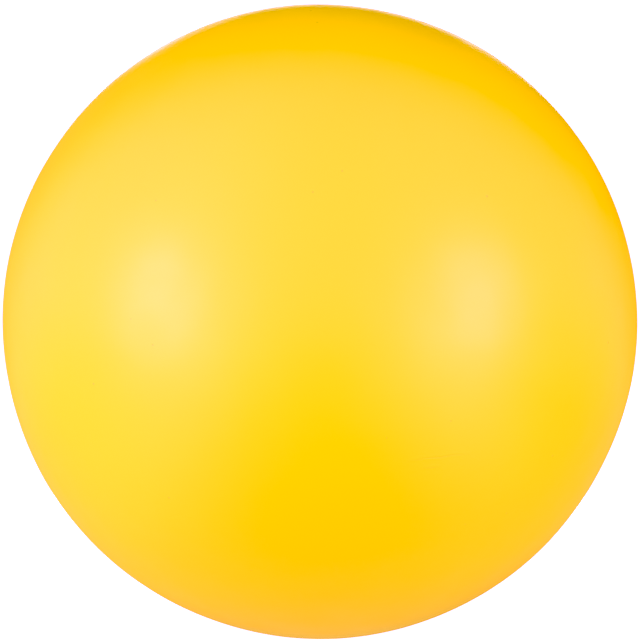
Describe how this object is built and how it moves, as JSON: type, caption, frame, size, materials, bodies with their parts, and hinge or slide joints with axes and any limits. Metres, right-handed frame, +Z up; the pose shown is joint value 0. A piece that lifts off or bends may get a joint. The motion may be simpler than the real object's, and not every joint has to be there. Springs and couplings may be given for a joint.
{
  "type": "playground rubber ball",
  "caption": "Inflated rubber playground ball: moulded cover halves over a nylon-wound butyl bladder, with a needle valve whose core pulls out.",
  "frame": {"origin": "the ball's centre", "axes": "+Y along the valve axis and out of the valve, at the back of the ball; +Z up; the cover's two halves meet on the plane y = 0"},
  "size_m": [0.2158, 0.216, 0.2158],
  "materials": {
    "cover_rubber": "satin",
    "nylon_thread": "matte",
    "butyl_rubber": "satin",
    "patch_rubber": "matte",
    "housing_rubber": "satin",
    "core_rubber": "satin"
  },
  "bodies": {
    "ball": {"cover_front": "cover_rubber", "cover_rear": "cover_rubber", "thread_winding": "nylon_thread", "bladder": "butyl_rubber", "valve_patch": "patch_rubber", "valve_housing": "housing_rubber"},
    "valve_core": {"valve_core": "core_rubber"}
  },
  "joints": [
    {"name": "valve_core_pull", "type": "slide", "parent": "ball", "child": "valve_core", "axis": [0, 1, 0], "range_m": [0, 0.022]}
  ]
}
